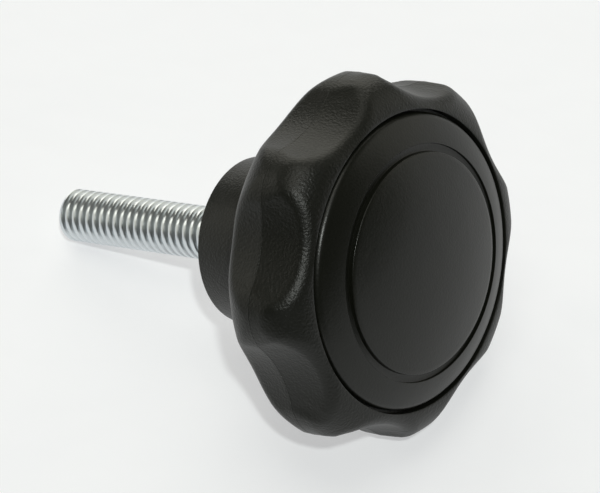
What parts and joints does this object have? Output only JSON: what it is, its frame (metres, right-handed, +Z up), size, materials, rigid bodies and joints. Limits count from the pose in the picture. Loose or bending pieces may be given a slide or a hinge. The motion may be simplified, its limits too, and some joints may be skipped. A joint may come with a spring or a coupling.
{
  "type": "star knob",
  "caption": "Black star knob: a fluted plastic head with a snap-in face cap, on a hub with a fixed threaded stud, for clamping or adjusting by hand.",
  "frame": {"origin": "centre of the hub's seating face, on the axis of the stud", "axes": "+Z up as the knob lies on two lobes and the stud's end; the stud's axis is in the XZ plane, with the face towards +X and 21.4 degrees upwards; +Y to the side"},
  "size_m": [0.0708, 0.051, 0.0498],
  "materials": {
    "body_plastic": "black moulded plastic with a fine even texture",
    "cap_plastic": "black moulded plastic, smooth ring and fine matte disc",
    "zinc_steel": "bright zinc plating on rolled thread"
  },
  "bodies": {
    "root": {"knob_body": "body_plastic", "face_cap": "cap_plastic", "threaded_stud": "zinc_steel"}
  },
  "joints": []
}
